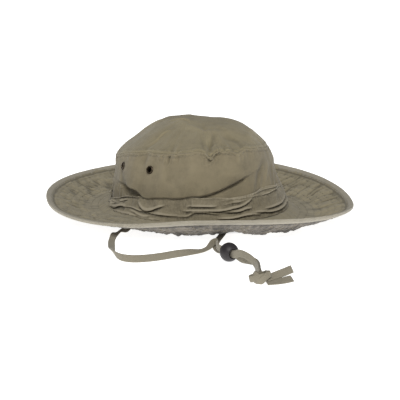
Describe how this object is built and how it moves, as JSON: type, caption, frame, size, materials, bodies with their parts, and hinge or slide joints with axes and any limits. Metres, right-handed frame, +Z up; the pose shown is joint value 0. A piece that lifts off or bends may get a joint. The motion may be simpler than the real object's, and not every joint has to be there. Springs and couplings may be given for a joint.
{
  "type": "safari hat",
  "caption": "Soft cotton safari hat with a wide stitched brim, crumpled loop band, side eyelets and a loose chin strap with a slider ball.",
  "frame": {"origin": "centre of the hat on the surface that it rests on, strap not counted", "axes": "+Z up, -Y toward the front of the hat, eyelets on -X and +X"},
  "size_m": [0.3332, 0.4088, 0.0959],
  "materials": {
    "crown_cloth": "matt washed cotton",
    "tip_cloth": "matt washed cotton",
    "brim_cloth": "matt washed cotton with stitch rows",
    "binding_cloth": "matt washed cotton tape",
    "band_cloth": "matt washed cotton, folded",
    "strap_tape": "woven cotton tape",
    "eyelet_metal": "blackened",
    "ball_wood": "dark stain, soft sheen"
  },
  "bodies": {
    "root": {"crown_side": "crown_cloth", "crown_tip": "tip_cloth", "loop_band": "band_cloth", "brim_inner": "brim_cloth", "brim_outer": "brim_cloth", "brim_binding": "binding_cloth", "eyelet_left_back": "eyelet_metal", "eyelet_left_front": "eyelet_metal", "eyelet_right_front": "eyelet_metal", "eyelet_right_back": "eyelet_metal", "strap_left": "strap_tape", "strap_right": "strap_tape", "strap_tail_upper": "strap_tape", "strap_tail_lower": "strap_tape", "strap_knot": "strap_tape", "slider_ball": "ball_wood"}
  },
  "joints": []
}
